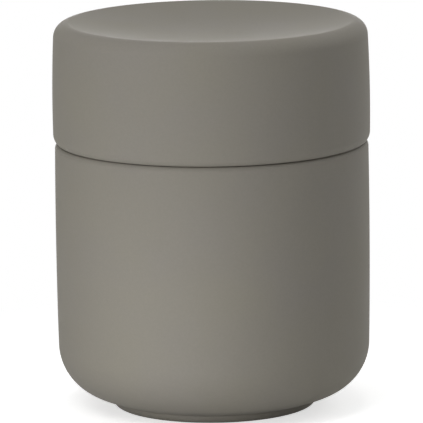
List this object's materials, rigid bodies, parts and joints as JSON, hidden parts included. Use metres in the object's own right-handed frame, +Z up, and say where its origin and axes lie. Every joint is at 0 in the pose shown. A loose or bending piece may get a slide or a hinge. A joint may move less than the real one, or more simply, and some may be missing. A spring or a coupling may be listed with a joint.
{
  "type": "cotton pad holder",
  "caption": "Round stoneware jar with a deep lift-off lid, dished on top and sealed by a silicone ring, that stores cotton pads.",
  "frame": {"origin": "centre of the foot ring on the surface that the jar stands on", "axes": "+Z up along the jar's axis; the jar is round, so X and Y are free"},
  "size_m": [0.0826, 0.0826, 0.1012],
  "materials": {
    "jar_stoneware": "taupe grey stoneware with a matte soft-touch coat, glazed inside",
    "lid_stoneware": "taupe grey stoneware with a matte soft-touch coat",
    "seal_silicone": "moulded silicone, translucent grey, satin"
  },
  "bodies": {
    "jar": {"jar": "jar_stoneware"},
    "seal": {"seal_ring": "seal_silicone"},
    "lid": {"lid": "lid_stoneware"}
  },
  "joints": [
    {"name": "lid_lift", "type": "slide", "parent": "jar", "child": "seal", "axis": [0, 0, 1], "range_m": [0, 0.08]},
    {"name": "lid_turn", "type": "hinge", "parent": "seal", "child": "lid", "pos_m": [0, 0, 0], "axis": [0, 0, 1], "continuous": true}
  ]
}
